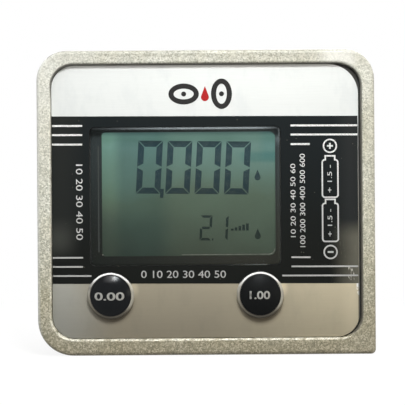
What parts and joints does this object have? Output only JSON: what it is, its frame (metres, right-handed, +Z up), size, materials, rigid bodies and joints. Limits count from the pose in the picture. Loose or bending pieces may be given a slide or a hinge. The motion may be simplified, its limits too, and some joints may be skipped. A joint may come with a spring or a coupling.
{
  "type": "oval gear flow meter",
  "caption": "Positive displacement flow meter with two oval gears, threaded in-line ports and a battery powered digital display with two push buttons.",
  "frame": {"origin": "middle of the underside, on the surface that the meter stands on", "axes": "+X to the right as seen from the front and out of the right port, +Y from the display to the rear cover, +Z up"},
  "size_m": [0.082, 0.0552, 0.074],
  "materials": {
    "cast_paint": "speckled silver paint on a casting",
    "black_plate": "moulded, matte",
    "face_foil": "printed foil, silver grey",
    "window_pane": "clear, polished",
    "rubber": "matte",
    "lcd_glass": "grey green liquid crystal glass",
    "white_plastic": "moulded, matte",
    "circuit_board": "green solder mask",
    "steel": "stainless",
    "brass": "plated",
    "reed_glass": "clear",
    "black_button": "glossy",
    "bright_collar": "satin",
    "cell_sleeve": "shrink sleeve",
    "bare_aluminium": "turned",
    "gear_plastic": "moulded",
    "carbon_bush": "carbon filled"
  },
  "bodies": {
    "root": {"body_casting": "cast_paint", "front_plate": "black_plate", "front_plate_screws": "steel", "face_label": "face_foil", "display_window": "window_pane", "window_gasket": "rubber", "lcd_glass": "lcd_glass", "lcd_frame": "black_plate", "lcd_backlight": "white_plastic", "contact_strips": "rubber", "circuit_board": "circuit_board", "board_chips": "black_plate", "board_screws": "steel", "sensor_board": "circuit_board", "sensor_pins": "brass", "reed_switches": "reed_glass", "reset_collar": "bright_collar", "cal_collar": "bright_collar", "keypad_mat": "rubber", "battery_top_insulator": "white_plastic", "battery_top_contact": "brass", "battery_cell_upper": "cell_sleeve", "battery_cell_lower": "cell_sleeve", "lower_gear_shaft": "steel", "upper_gear_shaft": "steel", "chamber_seal": "rubber", "rear_cover": "cast_paint", "rear_cover_screws": "steel", "inlet_strainer": "steel", "strainer_ring": "steel"},
    "reset_button": {"reset_button": "black_button"},
    "cal_button": {"cal_button": "black_button"},
    "lower_gear": {"lower_oval_gear": "gear_plastic", "lower_gear_bush": "carbon_bush", "lower_gear_magnets": "steel"},
    "upper_gear": {"upper_oval_gear": "gear_plastic", "upper_gear_bush": "carbon_bush", "upper_gear_magnets": "steel"},
    "cap_carrier": {"battery_cap_seal": "rubber"},
    "battery_cap": {"battery_cap": "bare_aluminium", "battery_spring": "steel"}
  },
  "joints": [
    {"name": "reset_press", "type": "slide", "parent": "root", "child": "reset_button", "axis": [0, 1, 0], "range_m": [0, 0.001], "stiffness_N_per_m": 1500, "springref_m": -0.0005},
    {"name": "cal_press", "type": "slide", "parent": "root", "child": "cal_button", "axis": [0, 1, 0], "range_m": [0, 0.001], "stiffness_N_per_m": 1500, "springref_m": -0.0005},
    {"name": "lower_gear_spin", "type": "hinge", "parent": "root", "child": "lower_gear", "pos_m": [0, 0.0111, 0.02475], "axis": [0, 1, 0], "continuous": true},
    {"name": "upper_gear_spin", "type": "hinge", "parent": "root", "child": "upper_gear", "pos_m": [0, 0.0111, 0.04925], "axis": [0, 1, 0], "continuous": true},
    {"name": "cap_travel", "type": "slide", "parent": "root", "child": "cap_carrier", "axis": [0, 0, -1], "range_m": [0, 0.00605]},
    {"name": "cap_turn", "type": "hinge", "parent": "cap_carrier", "child": "battery_cap", "pos_m": [0.03, -0.0145, 0.004], "axis": [0, 0, -1], "range_deg": [0, 2160]}
  ],
  "couplings": [
    {"joint": "upper_gear_spin", "follows": "lower_gear_spin", "ratio": -1},
    {"joint": "cap_travel", "follows": "cap_turn", "m_per_rad": 0.00015915}
  ]
}
